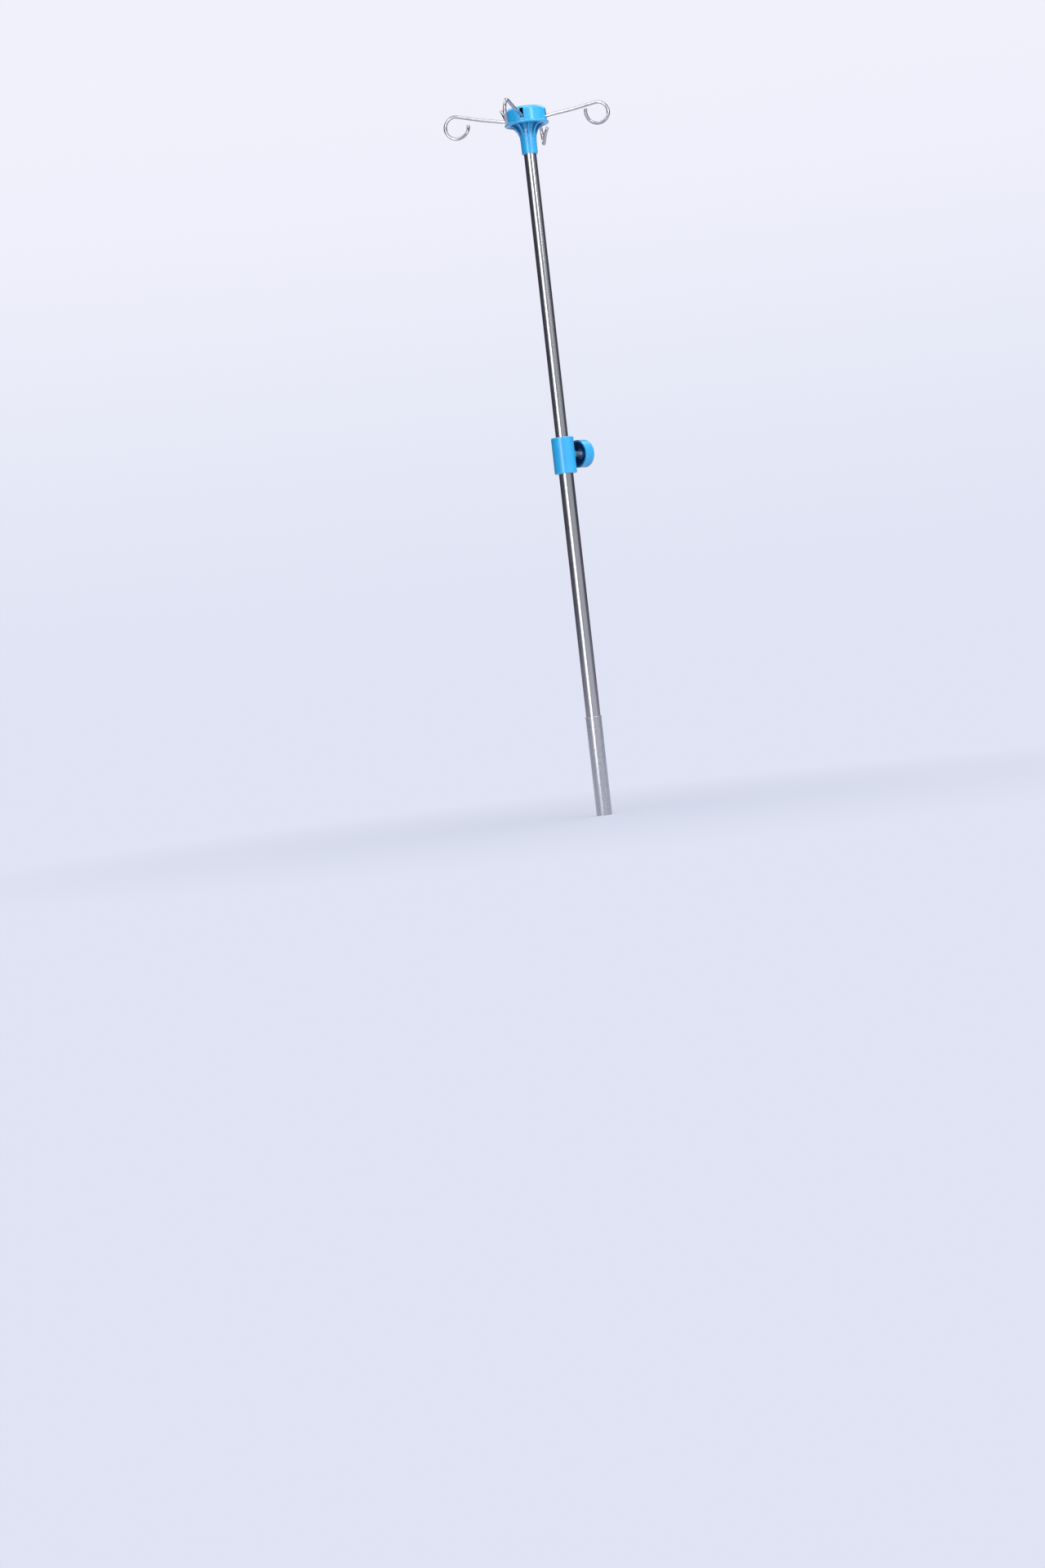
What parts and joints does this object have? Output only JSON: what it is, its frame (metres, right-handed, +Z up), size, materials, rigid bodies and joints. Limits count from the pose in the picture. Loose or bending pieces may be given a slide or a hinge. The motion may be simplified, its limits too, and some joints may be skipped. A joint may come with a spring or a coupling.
{
  "type": "telescopic iv drip stand for a chair armrest",
  "caption": "Two-stage steel infusion pole that plugs into a chair armrest socket, with a clamp knob and pivoting wire bag hooks.",
  "frame": {"origin": "centre of the bottom face of the socket sleeve, which sits in the chair's armrest", "axes": "+Z up along the pole, +X along the right-hand hook, +Y along the back hook"},
  "size_m": [0.2587, 0.2574, 1.0841],
  "materials": {
    "stainless_tube": "polished stainless steel tube",
    "stainless_wire": "polished stainless steel wire",
    "blue_plastic": "glossy moulded sky-blue plastic",
    "nylon": "natural white nylon, satin",
    "socket_steel": "turned steel sleeve",
    "screw_steel": "zinc-plated steel",
    "brass_insert": "turned brass"
  },
  "bodies": {
    "socket": {"socket_sleeve": "socket_steel"},
    "foot": {"foot_plug": "nylon"},
    "lower_pole": {"lower_tube": "stainless_tube", "collar_body": "blue_plastic", "collar_screw": "screw_steel", "clamp_insert": "brass_insert"},
    "pad": {"clamp_pad": "nylon"},
    "knob": {"clamp_screw": "screw_steel", "knob_body": "blue_plastic", "knob_nut": "screw_steel", "knob_cap": "blue_plastic"},
    "slider": {"guide_bush": "nylon"},
    "upper_pole": {"upper_tube": "stainless_tube", "neck_screw": "screw_steel", "head_body": "blue_plastic", "head_cap": "blue_plastic", "cap_screw": "screw_steel"},
    "hook_right": {"hook_right": "stainless_wire"},
    "hook_back": {"hook_back": "stainless_wire"},
    "hook_left": {"hook_left": "stainless_wire"},
    "hook_front": {"hook_front": "stainless_wire"}
  },
  "joints": [
    {"name": "pole_lift", "type": "slide", "parent": "socket", "child": "foot", "axis": [0, 0, 1], "range_m": [0, 0.14]},
    {"name": "pole_turn", "type": "hinge", "parent": "foot", "child": "lower_pole", "pos_m": [0, 0, 0], "axis": [0, 0, 1], "continuous": true},
    {"name": "pad_slide", "type": "slide", "parent": "lower_pole", "child": "pad", "axis": [0.6018, 0.7986, 0], "range_m": [0, 0.00251]},
    {"name": "knob_turn", "type": "hinge", "parent": "pad", "child": "knob", "pos_m": [0.02046, 0.02715, 0.5515], "axis": [0.6018, 0.7986, 0], "range_deg": [0, 720]},
    {"name": "height_slide", "type": "slide", "parent": "lower_pole", "child": "slider", "axis": [0, 0, 1], "range_m": [-0.42, 0.06]},
    {"name": "head_turn", "type": "hinge", "parent": "slider", "child": "upper_pole", "pos_m": [0, 0, 0.478], "axis": [0, 0, 1], "continuous": true},
    {"name": "hook_right_lift", "type": "hinge", "parent": "upper_pole", "child": "hook_right", "pos_m": [0.0125, 0, 1.0583], "axis": [0, -1, 0], "range_deg": [0, 24]},
    {"name": "hook_back_lift", "type": "hinge", "parent": "upper_pole", "child": "hook_back", "pos_m": [0, 0.0125, 1.0583], "axis": [1, 0, 0], "range_deg": [0, 24]},
    {"name": "hook_left_lift", "type": "hinge", "parent": "upper_pole", "child": "hook_left", "pos_m": [-0.0125, 0, 1.0583], "axis": [0, 1, 0], "range_deg": [0, 24]},
    {"name": "hook_front_lift", "type": "hinge", "parent": "upper_pole", "child": "hook_front", "pos_m": [0, -0.0125, 1.0583], "axis": [-1, 0, 0], "range_deg": [0, 24]}
  ],
  "couplings": [
    {"joint": "pad_slide", "follows": "knob_turn", "m_per_rad": 0.00019894}
  ]
}
